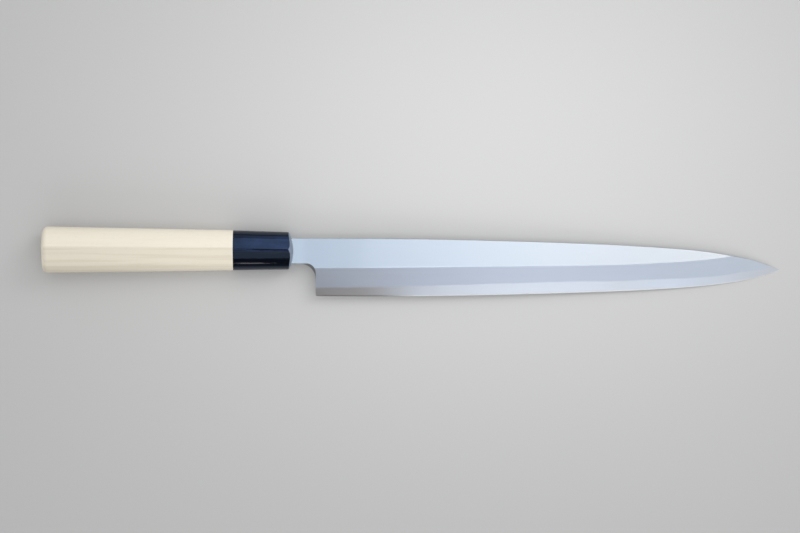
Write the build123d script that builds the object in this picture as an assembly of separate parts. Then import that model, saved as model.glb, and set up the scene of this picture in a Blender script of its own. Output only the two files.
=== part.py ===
from build123d import *
import math
import os

os.makedirs("parts", exist_ok=True)

# Japanese slicing knife with a single-bevel, two-layer blade and an oval, ridged wood handle.
# Millimetres. The origin lies on the handle's axis where the blade leaves the ferrule, in the
# plane of the blade's flat back. X runs to the tip, Y to the spine, Z out of the bevelled side.

# Every cut runs past the solid it cuts by this much
overrun = 3.0

# Blade, seen square to its flat back
edge_length = 270.0
heel_height = 33.5
neck_length = 12.7
neck_height = 14.9
heel_fillet = 8.7
# Spine and edge as (share of edge_length from the heel, share of heel_height below the spine);
# both run on past the tip, where they cross
spine_shares = [(0.1, 0.003), (0.27, 0.021), (0.465, 0.062), (0.63, 0.110), (0.755, 0.169),
                (0.848, 0.240), (0.905, 0.319), (0.955, 0.418), (1.0, 0.556), (1.04, 0.700)]
edge_shares = [(-0.04, 0.997), (0.08, 1.002), (0.2, 1.003), (0.33, 0.991), (0.46, 0.969),
               (0.59, 0.938), (0.70, 0.903), (0.784, 0.862), (0.849, 0.818), (0.914, 0.747),
               (0.957, 0.669), (1.0, 0.556), (1.04, 0.425)]

# Blade thickness: a wedge from heel to tip, and a little thinner towards the bevel
spine_thickness = 4.0
tip_thickness = 1.85
thinning = 0.6
spine_chamfer = 0.35
neck_chamfer = 0.4
# The upper arris under the neck is eased most in the heel's fillet: its smaller radius on top,
# how far it runs in along the straights, and how deep it goes down the side
choil_top_fillet = 5.4
choil_inset = 0.3
choil_depth = 2.8

# The bevel's width square to the edge, as shares of heel_height, one for each point of edge_shares
bevel_width_shares = [0.478, 0.488, 0.499, 0.499, 0.491, 0.479, 0.474, 0.470, 0.466, 0.462,
                      0.458, 0.455, 0.455]
edge_bevel_width = 0.3
edge_bevel_thickness = 0.14

# The hard steel under the soft iron: its thickness at the heel, at a bend and at the tip
steel_start_share = 0.4
steel_heel_thickness = 1.14
steel_bend_share = 0.58
steel_bend_thickness = 1.08
steel_tip_thickness = 0.47

# Hollow ground into the back, inside a flat rim
hollow_depth = 0.4
edge_rim = 1.4
spine_rim = 3.2
# Stations as (share of edge_length, share of the full width between the rims)
hollow_shares = [(0.014, 0.30), (0.025, 0.62), (0.045, 0.86), (0.08, 0.97), (0.14, 1.0), (0.3, 1.0),
                 (0.5, 1.0), (0.7, 1.0), (0.8, 1.0), (0.88, 0.97), (0.92, 0.80), (0.94, 0.50)]

# Tang
neck_seat = 4.0
tang_length = 104.0
tang_height = 13.0
tang_thickness = 3.2
tail_height = 5.5
tail_thickness = 2.2
tail_chamfer = 1.5

# Handle body, an oval with one ridge on its upper side
handle_length = 145.0
butt_height = 26.9
butt_above = 12.0
butt_below = 10.6
butt_round = 3.4
butt_rise = 0.75
butt_ridge_offset = 2.2
joint_height = 23.3
joint_above = 10.7
joint_below = 9.6
joint_rise = 0.4
joint_ridge_offset = 1.1
ridge_slope = 24.0

# Ferrule
ferrule_length = 34.9
ferrule_inset = 0.12
front_height = 21.5
front_above = 9.8
front_below = 9.0
front_rise = 0.1
front_ridge_offset = 0.7
dome_radius = 22.0
rim_round = 0.3
ridge_nick = 0.6

# Tenon in its mortise, the blade's mouth and the slot for the tang
tenon_length = 21.0
tenon_height = 16.5
tenon_thickness = 12.4
glue_gap = 0.12
mortise_end_gap = 0.5
mouth_gap = 0.55
slot_gap = 0.25
resin_recess = 0.25

# Places worked out from the sizes above
axis_z = spine_thickness / 2
spine_y = neck_height / 2
tip_x = neck_length + edge_length
joint_x = -ferrule_length
butt_x = -handle_length
mouth_back_x = joint_x + tenon_length + mortise_end_gap
length_taper = (spine_thickness - tip_thickness) / edge_length
height_taper = thinning / heel_height


def blade_point(share):
    """Place in plan of a point given as shares of the blade's length and heel height."""
    along, down = share
    return Vector(neck_length + along * edge_length, spine_y - down * heel_height, 0)


def upper_flat_height(point):
    """Height of the blade's upper flat above the back at a point in plan."""
    return (spine_thickness - length_taper * (point.X - neck_length)
            - height_taper * (spine_y - point.Y))


def bevel_lines():
    """Foot of the bevel on the back, and the level direction inwards, at each edge point."""
    feet = [blade_point(share) for share in edge_shares]
    edge_curve = Spline(*feet)
    inwards = []
    for foot in feet:
        tangent = edge_curve.tangent_at(edge_curve.param_at_point(foot))
        inwards.append(Vector(-tangent.Y, tangent.X, 0))
    return feet, inwards


def cutter_over(lower, upper):
    """Solid above the ruled surface between two rows of points."""
    skin = Face.make_surface_from_curves(Spline(*lower), Spline(*upper))
    return extrude(skin, amount=2 * heel_height, dir=(0, 0, 1))


def main_bevel_cutter():
    """Everything above the wide bevel, which is ground a little outside the final edge."""
    feet, inwards = bevel_lines()
    land = edge_bevel_thickness / 2
    lower = []
    upper = []
    for foot, inward, share in zip(feet, inwards, bevel_width_shares):
        width = share * heel_height
        rise = inward + Vector(0, 0, upper_flat_height(foot + inward * width) - land) / width
        start = foot + Vector(0, 0, land)
        lower.append(start - rise * heel_height)
        upper.append(start + rise * heel_height)
    return cutter_over(lower, upper)


def edge_bevel_cutter():
    """Everything above the small bevel along the cutting edge."""
    feet, inwards = bevel_lines()
    rise_rate = edge_bevel_thickness / edge_bevel_width
    steps = [(inward + Vector(0, 0, rise_rate)) * heel_height for inward in inwards]
    lower = [foot - step for foot, step in zip(feet, steps)]
    upper = [foot + step for foot, step in zip(feet, steps)]
    return cutter_over(lower, upper)


def top_face(solid):
    """The solid's highest face."""
    return solid.faces().sort_by(Axis.Z)[-1]


def bottom_face(solid):
    """The solid's lowest face."""
    return solid.faces().sort_by(Axis.Z)[0]


def on_spine(edge):
    """Whether an edge of the blank's top runs along the spine."""
    middle = edge @ 0.5
    return middle.X > 0 and middle.Y > 0


def under_neck(edge):
    """Whether an edge of the blank's back follows the neck's lower side or the heel's fillet."""
    middle = edge @ 0.5
    return abs(middle.X) < neck_length - neck_chamfer and -heel_height < middle.Y < -neck_chamfer


def blade_blank():
    """Blade and neck before the bevels, with the spine's curve, the heel and the tapered top."""
    heel = Vector(neck_length, spine_y, 0)
    spine = Spline(heel, *[blade_point(share) for share in spine_shares])
    far = spine @ 1
    low_y = spine_y - heel_height - overrun
    fillet_x = neck_length - heel_fillet
    fillet_y = -spine_y - heel_fillet
    outline = [
        Line((-neck_seat, spine_y), heel),
        spine,
        Line(far, (far.X, low_y)),
        Line((far.X, low_y), (neck_length, low_y)),
        Line((neck_length, low_y), (neck_length, fillet_y)),
        CenterArc((fillet_x, fillet_y), heel_fillet, 0, 90),
        Line((fillet_x, -spine_y), (-neck_seat, -spine_y)),
        Line((-neck_seat, -spine_y), (-neck_seat, spine_y)),
    ]
    blank = extrude(make_face(outline), amount=spine_thickness + overrun)
    top = Plane(origin=heel + Vector(0, 0, spine_thickness), z_dir=(length_taper, -height_taper, 1))
    blank = split(blank, bisect_by=top, keep=Keep.BOTTOM)
    blank = chamfer([edge for edge in top_face(blank).edges() if on_spine(edge)], spine_chamfer)
    return chamfer([edge for edge in bottom_face(blank).edges() if under_neck(edge)], neck_chamfer)


def choil_section(depth_share):
    """Outline of the eased arris under the neck, at a share of its depth up from its foot."""
    radius = heel_fillet + depth_share * (choil_top_fillet - heel_fillet)
    right = neck_length + depth_share * choil_inset
    high = depth_share * choil_inset - spine_y
    low = -spine_y - heel_height
    back = -neck_seat - overrun
    outline = [
        Line((back, high), (right - radius, high)),
        CenterArc((right - radius, high - radius), radius, 0, 90),
        Line((right, high - radius), (right, low)),
        Line((right, low), (back, low)),
        Line((back, low), (back, high)),
    ]
    height = spine_thickness + (depth_share - 1) * choil_depth
    return Pos(0, 0, height) * make_face(outline)


def choil_cutter():
    """What is eased off the upper arris under the neck and round the heel's fillet."""
    return loft([choil_section(-choil_inset), choil_section(1 + choil_inset)], ruled=True)


def hollow_cutter():
    """Shallow hollow of the back: part-round sections between the two rims."""
    edge_curve = Spline(*[blade_point(share) for share in edge_shares])
    spine_curve = Spline((neck_length, spine_y), *[blade_point(share) for share in spine_shares])
    full_width = heel_height - edge_rim - spine_rim
    sections = []
    for along, width_share in hollow_shares:
        x = neck_length + along * edge_length
        wall = Plane(origin=(x, 0, 0), z_dir=(1, 0, 0))
        low = edge_curve.intersect(wall).vertices()[0].Y + edge_rim
        high = spine_curve.intersect(wall).vertices()[0].Y - spine_rim
        middle = (low + high) / 2
        half = width_share * (high - low) / 2
        depth = hollow_depth * (2 * half / full_width) ** 2
        arc = ThreePointArc((x, middle - half, 0), (x, middle, depth), (x, middle + half, 0))
        base = Polyline((x, middle + half, 0), (x, middle + half, -overrun),
                        (x, middle - half, -overrun), (x, middle - half, 0))
        sections.append(make_face([arc, base]))
    return loft(sections)


def tang(gap):
    """Tapered tang, grown all round by a gap when it is the shape of its slot."""
    front = Plane(origin=(-neck_seat, 0, axis_z), x_dir=(0, 1, 0), z_dir=(1, 0, 0))
    tail = front.offset(neck_seat - tang_length - gap)
    taper = loft([front * Rectangle(tang_height + 2 * gap, tang_thickness + 2 * gap),
                  tail * Rectangle(tail_height + 2 * gap, tail_thickness + 2 * gap)], ruled=True)
    tail_corners = taper.edges().filter_by(Axis.Z).group_by(Axis.X)[0]
    return chamfer(tail_corners, tail_chamfer)


def blade():
    """The whole blade with its neck and tang, before it is parted into its two layers."""
    ground = blade_blank() - choil_cutter() - main_bevel_cutter() - edge_bevel_cutter()
    return ground - hollow_cutter() + tang(0)


def steel_region():
    """Space under the two planes in which the hard steel is welded to the soft iron."""
    start = steel_start_share * neck_length
    bend = neck_length + steel_bend_share * edge_length
    far = tip_x + overrun
    side = Polyline((start, 0, -overrun), (start, 0, steel_heel_thickness),
                    (bend, 0, steel_bend_thickness), (far, 0, steel_tip_thickness),
                    (far, 0, -overrun), close=True)
    return extrude(make_face(side), amount=2 * heel_height, both=True)


def oval(x, rise, height, above, below, ridge_offset):
    """Section of the handle at x: an oval with one ridge on its upper side."""
    side = height / 2
    run = math.cos(math.radians(ridge_slope))
    climb = math.sin(math.radians(ridge_slope))
    ridge = (ridge_offset, above)
    outline = [
        Spline((side, 0), ridge, tangents=[(0, 1), (-run, climb)]),
        Spline(ridge, (-side, 0), tangents=[(-run, -climb), (0, -1)]),
        Spline((-side, 0), (0, -below), (side, 0), tangents=[(0, -1), (0, 1)]),
    ]
    section = Plane(origin=(x, rise, axis_z), x_dir=(0, 1, 0), z_dir=(1, 0, 0))
    return section * make_face(outline)


def tenon(gap):
    """Round-ended tenon on the handle's front, grown by a gap when it is the mortise."""
    section = Plane(origin=(joint_x, joint_rise, axis_z), x_dir=(0, 1, 0), z_dir=(1, 0, 0))
    return section * SlotOverall(tenon_height + 2 * gap, tenon_thickness + 2 * gap)


def wood_handle():
    """Handle body with a rounded butt, the tenon in front and the slot for the tang."""
    body = loft([oval(butt_x, butt_rise, butt_height, butt_above, butt_below, butt_ridge_offset),
                 oval(joint_x, joint_rise, joint_height, joint_above, joint_below,
                      joint_ridge_offset)], ruled=True)
    body = fillet(body.faces().sort_by(Axis.X)[0].edges(), butt_round)
    return body + extrude(tenon(0), amount=tenon_length) - tang(slot_gap)


def dome_ball(radius):
    """Ball whose surface is the ferrule's domed front, or lies parallel to it."""
    return Pos(-dome_radius, 0, axis_z) * Sphere(radius)


def ridge_end():
    """Plane that takes the sharp end off the ferrule's ridge, at 45 degrees to the ridge."""
    rim_x = math.sqrt(dome_radius ** 2 - front_above ** 2) - dome_radius
    slope = (joint_above - ferrule_inset - front_above) / ferrule_length
    cut_x = rim_x - ridge_nick
    return Plane(origin=(cut_x, 0, axis_z + front_above - slope * cut_x), z_dir=(1, 0, 1))


def mouth():
    """Opening through the ferrule's front for the blade's neck."""
    box = Box(overrun - mouth_back_x, neck_height + 2 * mouth_gap, spine_thickness + 2 * mouth_gap,
              align=(Align.MIN, Align.CENTER, Align.CENTER))
    return Pos(mouth_back_x, 0, axis_z) * box


def horn_ferrule():
    """Horn ferrule with its domed front, the mortise behind and the blade's mouth."""
    back = oval(joint_x, joint_rise, joint_height - 2 * ferrule_inset, joint_above - ferrule_inset,
                joint_below - ferrule_inset, joint_ridge_offset)
    front = oval(0, front_rise, front_height, front_above, front_below, front_ridge_offset)
    body = loft([back, front], ruled=True) & dome_ball(dome_radius)
    body = fillet(body.faces().sort_by(Axis.X)[-1].edges(), rim_round)
    body = split(body, bisect_by=ridge_end(), keep=Keep.BOTTOM)
    mortise = extrude(tenon(glue_gap), amount=mouth_back_x - joint_x)
    return body - mortise - mouth()


def mouth_resin(whole_blade):
    """Resin round the blade in the ferrule's mouth, a little below the domed front."""
    return (mouth() & dome_ball(dome_radius - resin_recess)) - whole_blade


whole_blade = blade()
pieces = {
    "soft_iron_body": whole_blade - steel_region(),
    "hard_steel_layer": whole_blade & steel_region(),
    "wood_handle": wood_handle(),
    "horn_ferrule": horn_ferrule(),
    "mouth_resin": mouth_resin(whole_blade),
}
for name, piece in pieces.items():
    export_step(piece, f"parts/{name}.step")
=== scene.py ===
import bpy
from bpy.props import FloatProperty, FloatVectorProperty, PointerProperty
from bpy.types import Operator, Panel, PropertyGroup
from mathutils import Matrix, Vector

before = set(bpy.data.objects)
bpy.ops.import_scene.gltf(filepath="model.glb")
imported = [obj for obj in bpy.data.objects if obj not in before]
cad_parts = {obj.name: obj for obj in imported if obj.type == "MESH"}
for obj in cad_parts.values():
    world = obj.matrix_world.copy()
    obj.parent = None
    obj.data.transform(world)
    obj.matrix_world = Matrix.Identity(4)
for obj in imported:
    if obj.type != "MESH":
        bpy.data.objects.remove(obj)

bl_info = {
    "name": "Yanagiba Knife",
    "version": (1, 0, 0),
    "blender": (4, 5, 0),
    "location": "View3D > Sidebar > Knife",
    "description": "Finishes for a single-bevel slicing knife, and a plain studio round it",
    "category": "Material",
}

# Lines of the blade in millimetres, as places along it and across it, from heel to tip
RIDGE = [(0, -9.95), (34, -9.77), (67, -9.43), (102, -9.03), (137, -8.57), (172, -7.94),
         (201, -6.94), (223, -5.74), (240, -4.45), (257, -2.3), (267, -0.17), (290, 8.2)]
WELD = [(0, -21.2), (33, -21.1), (50, -20.9), (67, -20.4), (85, -20.0), (102, -19.5), (120, -18.8),
        (137, -18.4), (155, -17.8), (172, -17.6), (189, -17.3), (213, -16.3), (236, -15.4),
        (248, -14.4), (259, -12.6), (271, -10.8), (290, -5.0)]
SPINE = [(0, 7.45), (40, 7.35), (86, 6.75), (138, 5.37), (183, 3.77), (217, 1.77), (242, -0.61),
         (257, -3.22), (270, -6.4), (282.7, -11.18), (290, -14.4)]
# A curve node holds such a line as fractions of this length and this height, with 0 at mid height
LINE_LENGTH = 290
LINE_HEIGHT = 60
# Middle, half width and soft edge of the thin painted highlight beside such a line, in millimetres
THIN = (0.3, 0.1, 0.3)
# How far the ferrule's ridge goes sideways for each millimetre along it
RIDGE_SLOPE = 0.016
MILLIMETRES_IN_METRE = 1000
TEN_MICRONS = 0.00001

# Colours and gloss that no setting changes
# Painted highlight of the thin bright lines along the blade's ridge and spine
PAINTED_GLINT = (0.95, 0.96, 0.98, 1.0)
# Painted highlight of the honed micro-bevel along the edge
HONED_GLINT = (0.85, 0.87, 0.9, 1.0)
SCRATCHED_HORN = (0.07, 0.09, 0.12, 1.0)
RESIN_SPECKS = (0.02, 0.018, 0.016, 1.0)
BACKGROUND_GREY = (0.5, 0.5, 0.5, 1.0)
HORN_GLOSS = {"IOR": 1.56, "Specular IOR Level": 0.5, "Specular Tint": (0.4, 0.59, 0.95, 1.0)}

# The knife rests on the ferrule's lower rim and the tip: a point of the floor, and its upright
FLOOR_POINT = Vector((0.28269, -0.01117, 0.0))
FLOOR_UP = Vector((-0.02456, 0.00381, 0.99969)).normalized()
FLOOR_SIZE = 8
FLOOR_ROUGHNESS = 0.9
# Middle of the painted pool of light on the floor and its reach from there, along X and Y in
# millimetres
POOL_MIDDLE = (115, 73)
POOL_REACH = (342, 267)

# The place below the camera, its sensor's width in millimetres, and how far it sees in metres
CAMERA_OVER = Vector((0.06165, -0.009, 0.0))
SENSOR_WIDTH = 36
CLIP_END = 100

LAMP_TARGET = (0.05, 0, 0)
# Name, place, target, size, power in watts and colour of each card that reflections show
CARDS = [("Over card", (0.45, 0.15, 1.5), (0.3, 0, 0), (0.6, 0.6), 1.19, (1.0, 1.0, 1.0)),
         ("Past card", (0.75, 0.1, 1.3), (0.2, 0, 0), (0.5, 1.2), 1.48, (1.0, 1.0, 1.0)),
         ("Heel card", (0, 0, 1.5), (0, 0, 0), (0.3, 0.5), 0.52, (0.63, 0.79, 1.0)),
         ("Tip card", (0.3, 0, 1.5), (0.3, 0, 0), (0.3, 0.5), 0.27, (0.63, 0.79, 1.0)),
         ("Bevel card", (0.27, -0.55, 1.5), (0.13, 0, 0), (0.3, 0.4), 0.97, (0.78, 0.87, 1.0)),
         ("Low card", (0, -1.0, 1.25), (0, 0, 0), (1.2, 0.22), 0.68, (0.92, 0.91, 0.9)),
         ("Window", (0, 1.15, 0.93), (0, 0, 0), (0.9, 0.58), 2.4, (0.7, 0.82, 1.0)),
         ("Far window", (0.1, 1.56, 0.46), (0, 0, 0), (1.6, 0.56), 1.7, (0.7, 0.82, 1.0)),
         ("Lamp strip", (-0.027, -0.88, 0.477), (-0.017, 0, 0), (0.026, 0.12), 0.042,
          (1.0, 0.7, 0.47)),
         ("End card", (1.2, 0, 0.9), (0, 0, 0), (0.8, 0.6), 0.8, (0.8, 0.9, 1.0))]


class Wire:
    """A socket of a node tree. Sums on it add Math nodes, and add() adds any other node."""

    def __init__(self, tree, socket=None):
        self.tree = tree
        self.socket = socket

    def add(self, kind, output=0, settings=None, sockets=None):
        """Add a node, its settings first and then its sockets' values or links; give an output."""
        node = self.tree.nodes.new("ShaderNode" + kind)
        for key, value in (settings or {}).items():
            if key == "points":
                lay_points(node.mapping, value)
            else:
                setattr(node, key, value)
        for key, value in (sockets or {}).items():
            if isinstance(value, Wire):
                self.tree.links.new(value.socket, node.inputs[key])
            else:
                node.inputs[key].default_value = value
        return Wire(self.tree, node.outputs[output] if node.outputs else None)

    def parts(self):
        """The three numbers of a vector."""
        node = self.add("SeparateXYZ", sockets={0: self}).socket.node
        return [Wire(self.tree, output) for output in node.outputs]

    def sum(self, operation, *values):
        """Add a Math node that works on these values."""
        return self.add("Math", settings={"operation": operation}, sockets=dict(enumerate(values)))

    def __add__(self, other):
        return self.sum("ADD", self, other)

    def __sub__(self, other):
        return self.sum("SUBTRACT", self, other)

    def __rsub__(self, other):
        return self.sum("SUBTRACT", other, self)

    def __mul__(self, other):
        return self.sum("MULTIPLY", self, other)

    def __truediv__(self, other):
        return self.sum("DIVIDE", self, other)

    def __pow__(self, other):
        return self.sum("POWER", self, other)

    def __neg__(self):
        return self.sum("MULTIPLY", self, -1)

    def __abs__(self):
        return self.sum("ABSOLUTE", self)

    __radd__ = __add__
    __rmul__ = __mul__

    def rise(self, low, high):
        """0 below low and 1 above high, with a smooth step between them."""
        return self.add("MapRange", settings={"interpolation_type": "SMOOTHSTEP"},
                        sockets={"Value": self, "From Min": low, "From Max": high})

    def band(self, middle, half, soft):
        """1 within half of the middle, falling to 0 over soft."""
        return 1 - abs(self - middle).rise(half, half + soft)

    def mixed(self, below, above):
        """A colour that goes from below to above as this value goes from 0 to 1."""
        # By number, because the Mix node has its sockets once for each type of data
        return self.add("Mix", 2, {"data_type": "RGBA"}, {0: self, 6: below, 7: above})

    def times(self, factor):
        """A colour or another vector, times a number."""
        return self.add("VectorMath", settings={"operation": "SCALE"},
                        sockets={0: self, "Scale": factor})

    def follow(self, line):
        """Height of a line of the blade at this place along it, in millimetres."""
        points = [(place / LINE_LENGTH, height / LINE_HEIGHT + 0.5) for place, height in line]
        curve = self.add("FloatCurve", settings={"points": points},
                         sockets={"Value": self / LINE_LENGTH})
        return curve * LINE_HEIGHT - LINE_HEIGHT / 2

    def grain(self, along, across, detail=2.0, seed=0.0):
        """Noise stretched along X, with the length and width of its marks in millimetres."""
        placed = self.add("Mapping", sockets={"Vector": self, "Location": (seed, seed, seed),
                                              "Scale": (1 / along, 1 / across, 1 / across)})
        return self.add("TexNoise", settings={"noise_dimensions": "3D"},
                        sockets={"Vector": placed, "Scale": 1.0, "Detail": detail})


def lay_points(mapping, points):
    """Lay the curve of a Float Curve node through points between 0 and 1."""
    curve = mapping.curves[0]
    while len(curve.points) < len(points):
        curve.points.new(1, 1)
    for point, place in zip(curve.points, points):
        point.location = place
    mapping.update()


def solid(colour):
    """A property's colour as a socket takes it."""
    return (*colour, 1.0)


def new_material(name):
    """A material with an empty node tree, and the place on the object in millimetres."""
    material = bpy.data.materials.new(name)
    material.use_nodes = True
    material.node_tree.nodes.clear()
    place = Wire(material.node_tree).add("TexCoord", "Object").times(MILLIMETRES_IN_METRE)
    return material, place


def finish_material(place, colour, roughness, relief, others):
    """Join colour, roughness, relief (a height in tens of microns) and others to the surface."""
    bump = place.add("Bump", sockets={"Strength": 1.0, "Distance": TEN_MICRONS, "Height": relief})
    sockets = {"Base Color": colour, "Roughness": roughness, "Normal": bump}
    shader = place.add("BsdfPrincipled", sockets={**sockets, **others})
    place.add("OutputMaterial", sockets={"Surface": shader})


def dress(node, material):
    """Give a CAD node its material."""
    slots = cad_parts[node].material_slots
    if not slots:
        raise RuntimeError(f"{node} has no material slot")
    for slot in slots:
        slot.material = material


class BladeFinish(PropertyGroup):
    """Finish of the blade's soft iron and hard steel."""

    flat_colour: FloatVectorProperty(
        name="Flat", description="Colour of the polished flat above the ridge line",
        default=(0.755, 0.78, 0.805), size=3, min=0, max=1, subtype="COLOR")
    bevel_colour: FloatVectorProperty(
        name="Bevel iron", description="Colour of the hazy soft iron on the bevel",
        default=(0.685, 0.705, 0.76), size=3, min=0, max=1, subtype="COLOR")
    steel_colour: FloatVectorProperty(
        name="Hard steel", description="Colour of the hard steel along the edge",
        default=(0.755, 0.75, 0.76), size=3, min=0, max=1, subtype="COLOR")
    # Painted shade: the hard steel is darker next to the heel
    heel_shade_colour: FloatVectorProperty(
        name="Heel steel", description="Colour of the duller hard steel next to the heel",
        default=(0.57, 0.53, 0.50), size=3, min=0, max=1, subtype="COLOR")
    # Painted reflection: the hard steel is brighter next to the tip
    tip_sheen_colour: FloatVectorProperty(
        name="Tip steel", description="Colour of the brighter hard steel next to the tip",
        default=(0.828, 0.855, 0.905), size=3, min=0, max=1, subtype="COLOR")
    # Painted reflection: the soft iron of the bevel is lighter and bluer next to the tip
    point_sheen_colour: FloatVectorProperty(
        name="Point iron", description="Colour of the soft iron on the bevel next to the tip",
        default=(0.69, 0.74, 0.81), size=3, min=0, max=1, subtype="COLOR")
    back_colour: FloatVectorProperty(
        name="Hollow", description="Colour of the ground hollow of the back",
        default=(0.70, 0.72, 0.75), size=3, min=0, max=1, subtype="COLOR")
    flat_roughness: FloatProperty(
        name="Flat roughness", description="Roughness of the polished flat",
        default=0.26, min=0.05, max=1, subtype="FACTOR")
    bevel_roughness: FloatProperty(
        name="Bevel roughness", description="Roughness of the hazy soft iron on the bevel",
        default=0.33, min=0.05, max=1, subtype="FACTOR")
    steel_roughness: FloatProperty(
        name="Steel roughness", description="Roughness of the hard steel along the edge",
        default=0.29, min=0.05, max=1, subtype="FACTOR")


class HandleFinish(PropertyGroup):
    """Finish of the wood, the horn and the resin."""

    wood_colour: FloatVectorProperty(
        name="Wood", description="Main colour of the pale wood",
        default=(0.87, 0.81, 0.685), size=3, min=0, max=1, subtype="COLOR")
    streak_colour: FloatVectorProperty(
        name="Streaks", description="Colour of the long darker streaks of the grain",
        default=(0.76, 0.69, 0.56), size=3, min=0, max=1, subtype="COLOR")
    pore_colour: FloatVectorProperty(
        name="Pores", description="Colour of the fine pores",
        default=(0.62, 0.55, 0.43), size=3, min=0, max=1, subtype="COLOR")
    horn_colour: FloatVectorProperty(
        name="Horn", description="Main colour of the polished black horn",
        default=(0.0015, 0.002, 0.004), size=3, min=0, max=1, subtype="COLOR")
    vein_colour: FloatVectorProperty(
        name="Horn veins", description="Colour of the faint veins in the horn",
        default=(0.006, 0.007, 0.009), size=3, min=0, max=1, subtype="COLOR")
    # Partly the horn's own cloud and partly a painted reflection of a blue window on the upper side
    cloud_sheen_colour: FloatVectorProperty(
        name="Horn clouds", description="Colour of the blue-grey clouds in the horn's upper side",
        default=(0.013, 0.02, 0.052), size=3, min=0, max=1, subtype="COLOR")
    ground_colour: FloatVectorProperty(
        name="Ground horn", description="Colour of the horn's ground, unpolished front",
        default=(0.23, 0.28, 0.36), size=3, min=0, max=1, subtype="COLOR")
    resin_colour: FloatVectorProperty(
        name="Resin", description="Colour of the resin round the neck",
        default=(0.05, 0.042, 0.035), size=3, min=0, max=1, subtype="COLOR")


class StudioSettings(PropertyGroup):
    """Camera, lamps, floor, and the room that reflections show."""

    camera_height: FloatProperty(
        name="Camera height", description="Height of the camera above the floor",
        default=1.6, min=0.3, unit="LENGTH", subtype="DISTANCE")
    focal_length: FloatProperty(
        name="Focal length", description="Focal length on a 36 mm sensor, in millimetres",
        default=123.7, min=10, unit="CAMERA")
    # Brightest colour of the painted pool of light on the floor
    pool_colour: FloatVectorProperty(
        name="Floor", description="Colour of the floor next to the knife",
        default=(0.672, 0.672, 0.672), size=3, min=0, max=1, subtype="COLOR")
    far_colour: FloatVectorProperty(
        name="Far floor", description="Colour that the floor falls to away from the knife",
        default=(0.40, 0.40, 0.40), size=3, min=0, max=1, subtype="COLOR")
    key_power: FloatProperty(
        name="Key lamp", description="Power of the large soft lamp at the upper right",
        default=7.9, min=0, unit="POWER")
    top_power: FloatProperty(
        name="Top lamp", description="Power of the wide lamp overhead",
        default=12.2, min=0, unit="POWER")
    low_power: FloatProperty(
        name="Low lamp", description="Power of the weak lamp on the side of the edge",
        default=5.6, min=0, unit="POWER")
    sky_level: FloatProperty(
        name="Sky level", description="Strength of the even light from all round",
        default=0.685, min=0)
    dark_level: FloatProperty(
        name="Dark level", description="Brightness of the dark ceiling that reflections show",
        default=0.06, min=0)
    wall_colour: FloatVectorProperty(
        name="Walls", description="Colour of the room's long walls that reflections show",
        default=(0.08, 0.08, 0.085), size=3, min=0, max=1, subtype="COLOR")
    end_colour: FloatVectorProperty(
        name="End walls",
        description="Colour of the walls past the butt and the tip that reflections show",
        default=(0.40, 0.42, 0.45), size=3, min=0, max=1, subtype="COLOR")
    horizon_colour: FloatVectorProperty(
        name="Horizon", description="Colour low down all round that reflections show",
        default=(0.18, 0.19, 0.20), size=3, min=0, max=1, subtype="COLOR")


def blade_material(name, look):
    """Steel of the blade: polished flat, hazy bevel, crisp strip along the edge, ground hollow,
    with painted highlights and painted shade.
    """
    material, place = new_material(name)
    x, y, z = place.parts()
    _, sideways, upright = place.add("TexCoord", "Normal").parts()
    lines = place.grain(42, 0.22)
    haze = place.grain(26, 5, 3.0, 7.7)

    # Regions, told apart by the way that the surface faces and by the blade's lines
    upward = upright.rise(0.5, 0.8)
    bevel = (-sideways).rise(0.035, 0.075) * upward
    # Painted highlight: the honed micro-bevel takes a pale, mostly non-metal colour so that it
    # shines
    honed_glint = (-sideways).rise(0.2, 0.35) * upward * x.rise(45, 75)
    hollow = (-upright).rise(0.5, 0.8) * z.rise(0.02, 0.07)
    # Painted shade: the steep eased arris of the choil and heel is darkened
    arris_shade = (1 - abs(upright).rise(0.75, 0.97)) * (-y).rise(5, 7) * (1 - x.rise(13.4, 14))
    wander = place.grain(9, 400, 2.0, 3.1) * 0.9 - 0.45
    crispness = x.rise(50, 110) * 0.5 + 0.5
    strip = ((x.follow(WELD) + wander - y) * crispness).rise(-0.45, 0.45) * bevel
    # Painted highlights: thin bright lines beside the ridge line and along the spine
    ridge = (y - x.follow(RIDGE)).band(*THIN) * x.rise(30, 55) * (0.6 - x.rise(75, 125) * 0.5)
    crest = (x.follow(SPINE) - y).band(*THIN) * x.rise(40, 90)
    rim = (ridge + crest) * (1 - bevel) * upward

    # Painted shade darkens the hard steel by the heel, a painted reflection brightens it before the
    # tip and painted shade darkens it again at the tip; a painted reflection also lightens the
    # bevel's iron next to the tip
    steel = x.rise(36, 78).mixed(solid(look.heel_shade_colour), solid(look.steel_colour))
    steel = x.rise(185, 225).mixed(steel, solid(look.tip_sheen_colour))
    steel = steel.times(1 - x.rise(245, 278) * 0.13)
    iron = x.rise(160, 265).mixed(solid(look.bevel_colour), solid(look.point_sheen_colour))
    colour = bevel.mixed(solid(look.flat_colour), iron)
    colour = strip.mixed(colour, steel)
    colour = hollow.mixed(colour, solid(look.back_colour))
    colour = rim.mixed(colour, PAINTED_GLINT)
    colour = honed_glint.mixed(colour, HONED_GLINT)
    # Painted highlight and shade on the flat: lighter next to the neck, and darker round 24 mm and
    # towards the tip
    painted_light_and_shade = (1 - bevel) * (x.rise(130, 220) * 0.06 + x.band(24, 8, 16) * 0.05
                         - 0.05 + x.rise(3, 9) * 0.05)
    colour = colour.times(0.96 + haze * (bevel * 0.05 + 0.01) + lines * 0.02 - painted_light_and_shade - arris_shade * 0.65)

    roughness = look.flat_roughness + bevel * (look.bevel_roughness - look.flat_roughness)
    roughness = roughness + strip * (look.steel_roughness - look.bevel_roughness)
    roughness = roughness + (lines - 0.5) * 0.03 + (haze - 0.5) * (bevel * 0.03) + hollow * 0.08
    finish_material(place, colour, roughness, lines * (0.02 + hollow * 0.24),
                    {"Metallic": 1 - honed_glint * 0.8})
    return material


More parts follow.
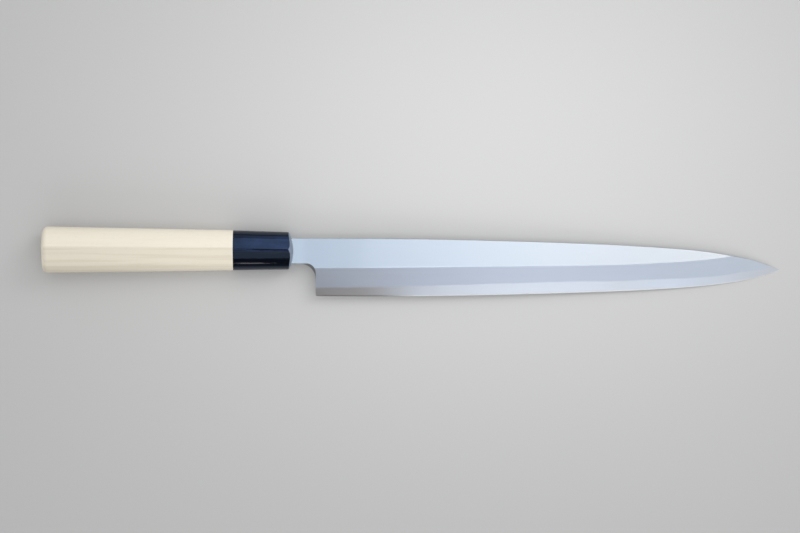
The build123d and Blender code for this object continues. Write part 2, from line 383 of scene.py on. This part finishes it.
def wood_material(look):
    """Pale magnolia: long soft streaks, mostly on the lower side, fine fibres and short pores;
    painted shade darkens the lower side and the bottom, and painted light lightens the front.
    """
    material, place = new_material("Pale magnolia")
    x, y, z = place.parts()
    fibre = place.grain(30, 0.28, 2.0, 1.3)
    streaks = place.grain(75, 2.8, 2.0, 8.8).rise(0.45, 0.68)
    cloud = place.grain(60, 9, 2.0, 4.2).rise(0.3, 0.7)
    pores = place.grain(3.2, 0.3, 1.0, 5.5).rise(0.63, 0.74)
    # Painted shade: the edge's side of the ridge is darker, but not on the butt's end face or the
    # underside
    end = (-place.add("TexCoord", "Normal").parts()[0]).rise(0.4, 0.8)
    plain = 1 - (1 - end) * z.rise(-3, 3)
    lower = (2.4 - x * 0.007 - y).rise(0, 1.6) * (1 - plain) + plain * 0.5
    streaks = streaks * (1 - end * 0.8)
    # Painted shade also draws the edge's side and the bottom towards the streak colour
    shade = streaks * (lower * 0.5 + 0.12) + cloud * 0.12 + lower * 0.3 + (-y).rise(4, 11) * 0.2
    colour = shade.mixed(solid(look.wood_colour), solid(look.streak_colour))
    colour = (pores * 0.2).mixed(colour, solid(look.pore_colour))
    # Painted light lightens the wood towards the front; painted shade darkens the edge's side and
    # the bottom, more towards the butt
    front = x.rise(-150, -30)
    colour = colour.times(0.95 + fibre * 0.05 + front * 0.07 - lower * (0.125 - front * 0.05)
                          - (-y).rise(5, 11) * (0.07 - front * 0.04))
    finish_material(place, colour, fibre * 0.14 + 0.5, fibre * 0.5 - pores * 0.8, {})
    return material


def horn_material(look):
    """Polished black buffalo horn with faint veins, polishing lines and fine scratches."""
    material, place = new_material("Polished horn")
    x, y, _ = place.parts()
    off_ridge = y + x * RIDGE_SLOPE
    veins = place.grain(24, 1.4, 3.0, 2.2)
    lines = place.grain(16, 0.5, 2.0, 6.1)
    lumps = place.grain(14, 7, 1.0, 9.4)
    scratches = place.grain(5, 0.2, 1.0, 3.3).rise(0.64, 0.74) * x.rise(-18, -6) * y.rise(-4, 1)
    ground = place.add("TexCoord", "Normal").parts()[0].rise(0.35, 0.7)
    # Blue-grey cloud, partly the horn's own and partly a painted reflection of a blue window, lies
    # on the spine's side of the ridge and grows towards the front; a painted dark line of shade is
    # left along the ridge towards the front
    clouds_and_sheen = place.grain(11, 4, 2.0, 4.4).rise(0.4, 0.66) * 0.5 + x.rise(-31, -20) * 0.6
    clouds_and_sheen = clouds_and_sheen * y.rise(-0.9, 0.3) * (1 - y.rise(7, 9.5))
    clouds_and_sheen = clouds_and_sheen * (1 - off_ridge.band(0.7, 0.15, 0.25) * x.rise(-28, -22) * 0.9)
    # Next to the wood the ridge itself is paler and less polished
    ridge = off_ridge.band(0.45, 0.3, 0.3) * (1 - x.rise(-29, -21))
    colour = veins.rise(0.52, 0.72).mixed(solid(look.horn_colour), solid(look.vein_colour))
    colour = (clouds_and_sheen + ridge * 0.7).mixed(colour, solid(look.cloud_sheen_colour))
    colour = (scratches * 0.6).mixed(colour, SCRATCHED_HORN)
    colour = ground.mixed(colour, solid(look.ground_colour))
    roughness = lines * 0.05 + 0.03 + scratches * 0.25 + ridge * 0.25 + ground * 0.4
    roughness = roughness + abs(y).rise(9, 10.5) * 0.3
    relief = lines * 0.2 + lumps * 5 - scratches * 0.3
    finish_material(place, colour, roughness, relief, HORN_GLOSS)
    return material


def resin_material(look):
    """Dull set resin in the ferrule's mouth."""
    material, place = new_material("Set resin")
    specks = place.grain(0.6, 0.6, 3.0, 1.7)
    colour = specks.mixed(solid(look.resin_colour), RESIN_SPECKS)
    finish_material(place, colour, specks * 0.2 + 0.5, specks * 2, {})
    return material


class KNIFE_OT_blade(Operator):
    """Give the soft iron and the hard steel their finish"""

    bl_idname = "knife.blade"
    bl_label = "Finish Blade"
    bl_options = {"REGISTER", "UNDO"}

    def execute(self, context):
        look = context.scene.knife_blade
        dress("soft_iron_body", blade_material("Soft iron", look))
        dress("hard_steel_layer", blade_material("Hard steel", look))
        return {"FINISHED"}


class KNIFE_OT_handle(Operator):
    """Give the wooden handle its finish"""

    bl_idname = "knife.handle"
    bl_label = "Finish Handle"
    bl_options = {"REGISTER", "UNDO"}

    def execute(self, context):
        dress("wood_handle", wood_material(context.scene.knife_handle))
        return {"FINISHED"}


class KNIFE_OT_ferrule(Operator):
    """Give the horn ferrule and the resin in its mouth their finish"""

    bl_idname = "knife.ferrule"
    bl_label = "Finish Ferrule"
    bl_options = {"REGISTER", "UNDO"}

    def execute(self, context):
        look = context.scene.knife_handle
        dress("horn_ferrule", horn_material(look))
        dress("mouth_resin", resin_material(look))
        return {"FINISHED"}


def facing(direction):
    """Rotation of a lamp or camera that looks along a direction, with the top of its view to +Y."""
    back = -direction.normalized()
    right = Vector((0, 1, 0)).cross(back).normalized()
    return Matrix((right, back.cross(right), back)).transposed().to_4x4()


def lamp(name, place, target, size, power, colour=(1, 1, 1)):
    """A soft lamp that points at a target."""
    data = bpy.data.lights.new(name, "AREA")
    data.shape = "RECTANGLE"
    data.size, data.size_y = size
    data.energy = power
    data.color = colour
    item = bpy.data.objects.new(name, data)
    bpy.context.scene.collection.objects.link(item)
    place = Vector(place)
    item.matrix_world = Matrix.Translation(place) @ facing(Vector(target) - place)
    item.visible_camera = False
    return item


def card(name, place, target, size, power, colour):
    """A soft card that only shows in reflections."""
    lamp(name, place, target, size, power, colour).visible_diffuse = False


def add_floor(settings):
    """The plain floor that the knife rests on, with a painted pool of light next to it."""
    bpy.ops.object.select_all(action="DESELECT")
    bpy.ops.mesh.primitive_plane_add(size=FLOOR_SIZE, location=(0, 0, 0))
    floor = bpy.context.object
    floor.name = "floor"
    tilt = Vector((0, 0, 1)).rotation_difference(FLOOR_UP).to_matrix().to_4x4()
    floor.data.transform(Matrix.Translation(FLOOR_POINT - FLOOR_UP * TEN_MICRONS) @ tilt)
    material, place = new_material("Floor")
    x, y, _ = place.parts()
    middle_x, middle_y = POOL_MIDDLE
    reach_x, reach_y = POOL_REACH
    # Painted pool of light: the floor is palest round the middle and falls to the far colour
    away = ((x - middle_x) / reach_x) ** 2 + ((y - middle_y) / reach_y) ** 2
    light_pool = (away + 1) ** -2
    colour = light_pool.mixed(solid(settings.far_colour), solid(settings.pool_colour))
    finish_material(place, colour, FLOOR_ROUGHNESS, place.grain(1.2, 1.2, 3.0) * 0.5, {})
    floor.data.materials.append(material)


def add_world(settings):
    """Even light from all round; reflections show a room, dark overhead, with pale ends."""
    world = bpy.data.worlds.new("Studio")
    world.use_nodes = True
    world.node_tree.nodes.clear()
    start = Wire(world.node_tree)
    x, _, z = start.add("TexCoord", "Generated").parts()
    low = 1 - abs(z).rise(0.17, 0.4)
    ends = abs(x).rise(0.35, 0.7) * (1 - z.rise(0.6, 0.8))
    room = z.rise(0.7, 0.85).mixed(solid(settings.wall_colour), solid((settings.dark_level,) * 3))
    room = low.mixed(room, solid(settings.horizon_colour))
    room = ends.mixed(room, solid(settings.end_colour))
    mirrored = start.add("LightPath", "Is Glossy Ray")
    light = mirrored.mixed(solid((settings.sky_level,) * 3), room)
    seen = start.add("LightPath", "Is Camera Ray")
    shown = seen.mixed(light, BACKGROUND_GREY)
    glow = start.add("Background", sockets={"Color": shown, "Strength": 1.0})
    start.add("OutputWorld", sockets={"Surface": glow})
    bpy.context.scene.world = world


def add_camera(settings):
    """Camera that looks straight down at the floor."""
    data = bpy.data.cameras.new("Camera")
    data.lens = settings.focal_length
    data.sensor_width = SENSOR_WIDTH
    data.clip_end = CLIP_END
    camera = bpy.data.objects.new("Camera", data)
    bpy.context.scene.collection.objects.link(camera)
    over = CAMERA_OVER - FLOOR_UP * (CAMERA_OVER - FLOOR_POINT).dot(FLOOR_UP)
    camera.matrix_world = (Matrix.Translation(over + FLOOR_UP * settings.camera_height)
                           @ facing(-FLOOR_UP))
    bpy.context.scene.camera = camera


def add_lamps(settings):
    """Soft lamps that light the knife, and the cards that its steel and horn reflect."""
    lamps = (("Key lamp", (1.2, 0.9, 1.3), (1.0, 0.8), settings.key_power),
             ("Top lamp", (0.1, 0.1, 2.2), (2.2, 2.2), settings.top_power),
             ("Low lamp", (0.05, -1.7, 0.9), (1.6, 0.8), settings.low_power))
    for name, place, size, power in lamps:
        lamp(name, place, LAMP_TARGET, size, power).visible_glossy = False
    for row in CARDS:
        card(*row)


class KNIFE_OT_stage(Operator):
    """Set the floor, the lamps and the camera round the knife"""

    bl_idname = "knife.stage"
    bl_label = "Set Stage"
    bl_options = {"REGISTER", "UNDO"}

    def execute(self, context):
        settings = context.scene.knife_studio
        add_floor(settings)
        add_world(settings)
        add_camera(settings)
        add_lamps(settings)
        context.scene.view_settings.view_transform = "Standard"
        return {"FINISHED"}


class KNIFE_PT_panel(Panel):
    """Settings of the knife's finishes and studio"""

    bl_idname = "KNIFE_PT_panel"
    bl_label = "Yanagiba Knife"
    bl_space_type = "VIEW_3D"
    bl_region_type = "UI"
    bl_category = "Knife"

    def draw(self, context):
        scene = context.scene
        for settings, operators in ((scene.knife_blade, ("knife.blade",)),
                                    (scene.knife_handle, ("knife.handle", "knife.ferrule")),
                                    (scene.knife_studio, ("knife.stage",))):
            box = self.layout.box()
            for name in settings.__annotations__:
                box.prop(settings, name)
            for operator in operators:
                box.operator(operator)


CLASSES = (BladeFinish, HandleFinish, StudioSettings, KNIFE_OT_blade, KNIFE_OT_handle,
           KNIFE_OT_ferrule, KNIFE_OT_stage, KNIFE_PT_panel)


def register():
    for cls in CLASSES:
        bpy.utils.register_class(cls)
    bpy.types.Scene.knife_blade = PointerProperty(type=BladeFinish)
    bpy.types.Scene.knife_handle = PointerProperty(type=HandleFinish)
    bpy.types.Scene.knife_studio = PointerProperty(type=StudioSettings)


def unregister():
    del bpy.types.Scene.knife_studio
    del bpy.types.Scene.knife_handle
    del bpy.types.Scene.knife_blade
    for cls in reversed(CLASSES):
        bpy.utils.unregister_class(cls)


def main():
    """Dress the knife and set its stage."""
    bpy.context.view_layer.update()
    register()
    bpy.ops.knife.blade()
    bpy.ops.knife.handle()
    bpy.ops.knife.ferrule()
    bpy.ops.knife.stage()


if __name__ == "__main__":
    main()
